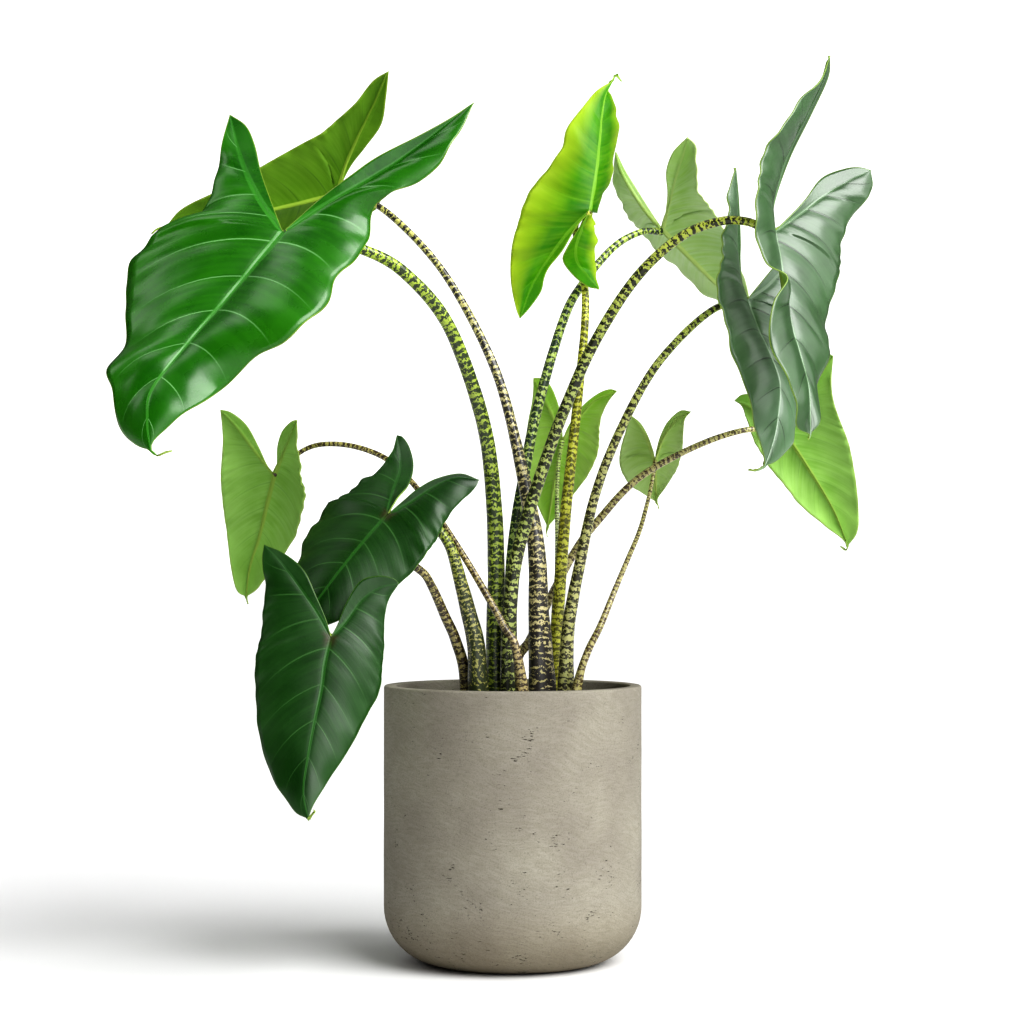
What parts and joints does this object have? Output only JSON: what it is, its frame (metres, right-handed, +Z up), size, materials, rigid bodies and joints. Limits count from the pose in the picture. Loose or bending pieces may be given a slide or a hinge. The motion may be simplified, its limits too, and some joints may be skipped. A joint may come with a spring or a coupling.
{
  "type": "potted alocasia zebrina",
  "caption": "Tall house plant with arrow-shaped leaves on arching zebra-banded stalks, growing in soil in a plain grey cylindrical pot with a rounded foot; it stands on the pot's flat base.",
  "frame": {"origin": "centre of the pot's flat base, on the surface that it stands on", "axes": "+Z up along the pot's axis, -Y towards the picture's camera, +X to the picture's right"},
  "size_m": [0.7239, 0.3788, 0.8751],
  "materials": {
    "pot": "matte",
    "soil": "matte",
    "stalk": "satin",
    "blade_green": "gloss",
    "blade_olive": "satin",
    "blade_lime": "satin",
    "blade_fresh": "satin",
    "blade_grey": "gloss",
    "blade_dark": "gloss"
  },
  "bodies": {
    "root": {"pot": "pot", "soil": "soil", "leaf_large_left_blade": "blade_green", "leaf_large_left_stalk": "stalk", "leaf_back_left_blade": "blade_olive", "leaf_back_left_stalk": "stalk", "leaf_upright_lime_blade": "blade_lime", "leaf_upright_lime_stalk": "stalk", "leaf_back_right_blade": "blade_fresh", "leaf_back_right_stalk": "stalk", "leaf_tall_right_blade": "blade_grey", "leaf_tall_right_stalk": "stalk", "leaf_front_right_blade": "blade_grey", "leaf_front_right_stalk": "stalk", "leaf_low_right_blade": "blade_fresh", "leaf_low_right_stalk": "stalk", "leaf_small_back_right_blade": "blade_olive", "leaf_small_back_right_stalk": "stalk", "leaf_small_back_middle_blade": "blade_fresh", "leaf_small_back_middle_stalk": "stalk", "leaf_small_left_blade": "blade_fresh", "leaf_small_left_stalk": "stalk", "leaf_dark_middle_blade": "blade_dark", "leaf_dark_middle_stalk": "stalk", "leaf_dark_front_blade": "blade_dark", "leaf_dark_front_stalk": "stalk"}
  },
  "joints": []
}
